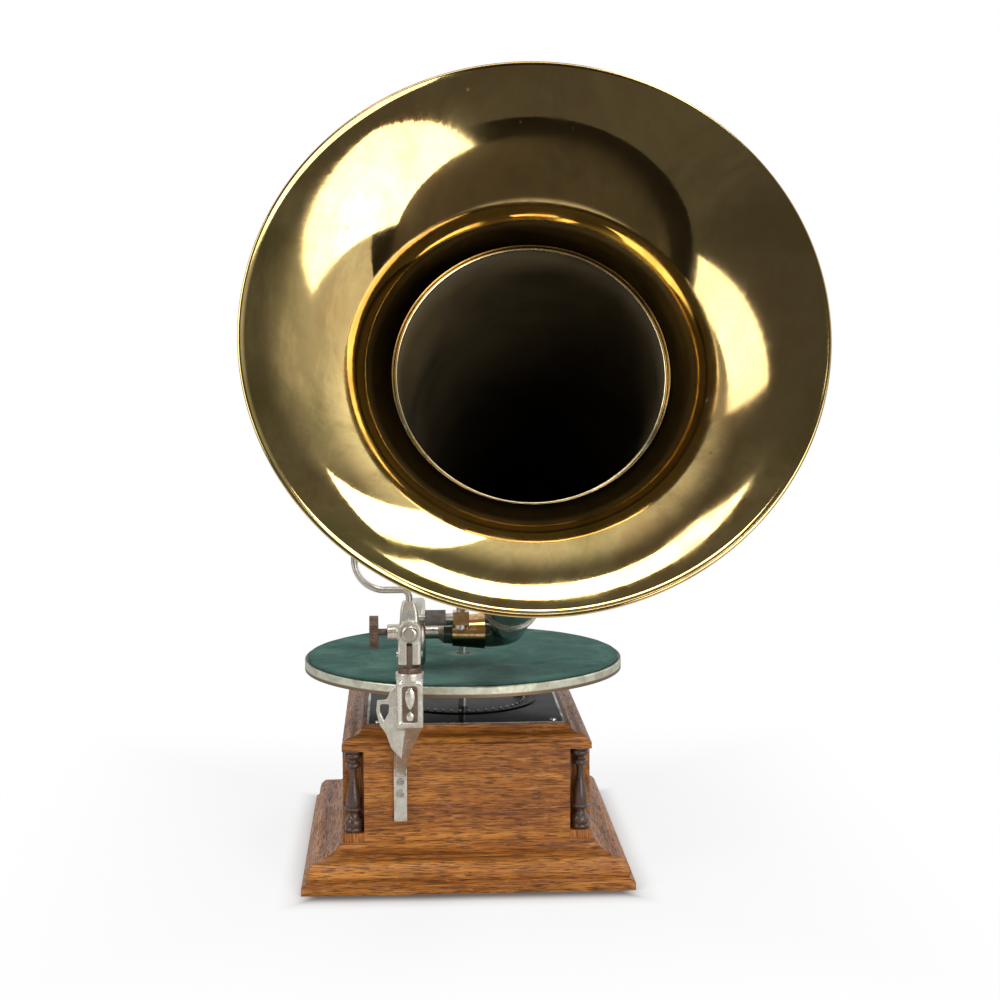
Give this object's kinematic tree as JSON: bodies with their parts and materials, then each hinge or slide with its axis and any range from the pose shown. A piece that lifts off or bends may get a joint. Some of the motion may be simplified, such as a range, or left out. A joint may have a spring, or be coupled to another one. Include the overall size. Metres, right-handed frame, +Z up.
{
  "type": "disc phonograph",
  "caption": "Spring-driven disc phonograph: oak case with turned columns, felt turntable, and a brass-belled horn with sound box swung and tilted on a front bracket.",
  "frame": {"origin": "on the surface that the case stands on, under the spindle's axis", "axes": "+Z up along the spindle, -Y towards the front where the bracket and the horn's bell are, +X to the right seen from the front"},
  "size_m": [0.275, 0.9186, 0.5589],
  "materials": {
    "oak": "satin varnish",
    "dark_oak": "satin varnish",
    "black_japan": "gloss",
    "nickel": "worn plate",
    "aged_nickel": "aged satin",
    "bronze": "oxidised",
    "copper_band": "polished",
    "bell_brass": "polished, patinated",
    "black_enamel": "gloss",
    "felt": "napped",
    "steel": "turned",
    "motor_brass": "satin",
    "cast_iron": "as cast",
    "turned_grip": "gloss",
    "leather": "matt",
    "rubber": "matt",
    "mica": "clear sheet"
  },
  "bodies": {
    "root": {"bottom_board": "dark_oak", "base_moulding": "oak", "cornice": "oak", "front_panel": "oak", "back_panel": "oak", "right_panel": "oak", "left_panel": "oak", "corner_posts": "oak", "corner_columns": "dark_oak", "motor_plate": "black_japan", "plate_trim": "nickel", "plate_screws": "nickel", "motor_frame_plate": "motor_brass", "motor_pillars": "steel", "governor_cocks": "motor_brass", "crank_escutcheon": "nickel", "front_bracket": "nickel", "bracket_screws": "steel"},
    "turntable": {"turntable_disc": "aged_nickel", "felt_mat": "felt", "spindle": "steel", "worm_wheel": "motor_brass"},
    "barrel": {"great_wheel": "motor_brass", "barrel_drum": "steel", "barrel_cover": "steel", "mainspring": "steel"},
    "middle": {"middle_arbor": "steel", "middle_wheel": "motor_brass"},
    "governor": {"governor_shaft": "steel", "governor_disc": "motor_brass", "governor_weights": "motor_brass"},
    "arbor": {"winding_arbor": "steel", "bevel_wheel": "cast_iron", "ratchet_wheel": "steel"},
    "pawl": {"ratchet_pawl": "steel"},
    "crank": {"crank_shaft": "steel", "crank_arm": "nickel"},
    "grip": {"crank_grip": "turned_grip"},
    "brake": {"brake_lever": "nickel", "brake_pad": "leather"},
    "speed": {"speed_knob": "nickel"},
    "swivel": {"swivel_post": "bronze"},
    "carrier": {"fork_upright": "nickel", "pivot_screw": "steel", "arm_rod": "nickel", "rubber_sleeve": "rubber", "clamp_band": "copper_band", "elbow": "black_enamel", "sound_box_body": "nickel", "diaphragm": "mica", "sound_box_bezel": "nickel", "horn_cone": "black_enamel", "horn_bell": "bell_brass", "horn_band": "nickel", "crane_wire": "nickel"},
    "thumb": {"thumb_screw": "bronze"},
    "wing": {"wing_screw": "steel"},
    "stylus": {"needle_lever": "nickel", "needle": "steel"}
  },
  "joints": [
    {"name": "turntable_spin", "type": "hinge", "parent": "root", "child": "turntable", "pos_m": [0, 0, 0.15], "axis": [0, 0, 1], "continuous": true},
    {"name": "middle_spin", "type": "hinge", "parent": "root", "child": "middle", "pos_m": [-0.018, 0.03118, 0.06], "axis": [0, 0, 1], "continuous": true},
    {"name": "barrel_spin", "type": "hinge", "parent": "root", "child": "barrel", "pos_m": [0.003, 0.06755, 0.045], "axis": [0, 0, 1], "continuous": true},
    {"name": "governor_spin", "type": "hinge", "parent": "root", "child": "governor", "pos_m": [0, -0.0201, 0.06], "axis": [1, 0, 0], "continuous": true},
    {"name": "crank_turn", "type": "hinge", "parent": "root", "child": "crank", "pos_m": [0.003, 0.14, 0.076], "axis": [0, 1, 0], "continuous": true},
    {"name": "arbor_turn", "type": "hinge", "parent": "root", "child": "arbor", "pos_m": [0.003, 0.06755, 0.07], "axis": [0, 0, 1], "continuous": true},
    {"name": "pawl_lift", "type": "hinge", "parent": "root", "child": "pawl", "pos_m": [0.019, 0.05755, 0.112], "axis": [0, 0, 1], "range_deg": [0, 14], "stiffness_Nm_per_rad": 0.01},
    {"name": "grip_spin", "type": "hinge", "parent": "crank", "child": "grip", "pos_m": [0.003, 0.19, 0.018], "axis": [0, 1, 0], "continuous": true},
    {"name": "brake_turn", "type": "hinge", "parent": "root", "child": "brake", "pos_m": [-0.054, 0.072, 0.15], "axis": [0, 0, 1], "range_deg": [0, 20]},
    {"name": "speed_knob_turn", "type": "hinge", "parent": "root", "child": "speed", "pos_m": [0.052, 0.078, 0.125], "axis": [0, 0, 1], "range_deg": [-150, 150]},
    {"name": "horn_swing", "type": "hinge", "parent": "root", "child": "swivel", "pos_m": [-0.0436, -0.15, 0.17], "axis": [0, 0, 1], "range_deg": [-10, 45]},
    {"name": "horn_tilt", "type": "hinge", "parent": "swivel", "child": "carrier", "pos_m": [-0.0436, -0.15, 0.19], "axis": [1, 0, 0], "range_deg": [0, 10]},
    {"name": "thumb_screw_turn", "type": "hinge", "parent": "carrier", "child": "thumb", "pos_m": [-0.065, -0.15, 0.2067], "axis": [1, 0, 0], "range_deg": [-360, 0]},
    {"name": "wing_screw_turn", "type": "hinge", "parent": "carrier", "child": "wing", "pos_m": [-0.00432, -0.092, 0.2067], "axis": [0, 0, 1], "range_deg": [-360, 0]},
    {"name": "needle_rock", "type": "hinge", "parent": "carrier", "child": "stylus", "pos_m": [-0.04592, -0.04537, 0.17261], "axis": [0, 0.766, 0.6428], "range_deg": [-1, 1], "stiffness_Nm_per_rad": 1}
  ],
  "couplings": [
    {"joint": "middle_spin", "follows": "turntable_spin", "ratio": -0.2},
    {"joint": "barrel_spin", "follows": "turntable_spin", "ratio": 0.033333},
    {"joint": "governor_spin", "follows": "turntable_spin", "ratio": 10},
    {"joint": "arbor_turn", "follows": "crank_turn", "ratio": 0.5}
  ]
}
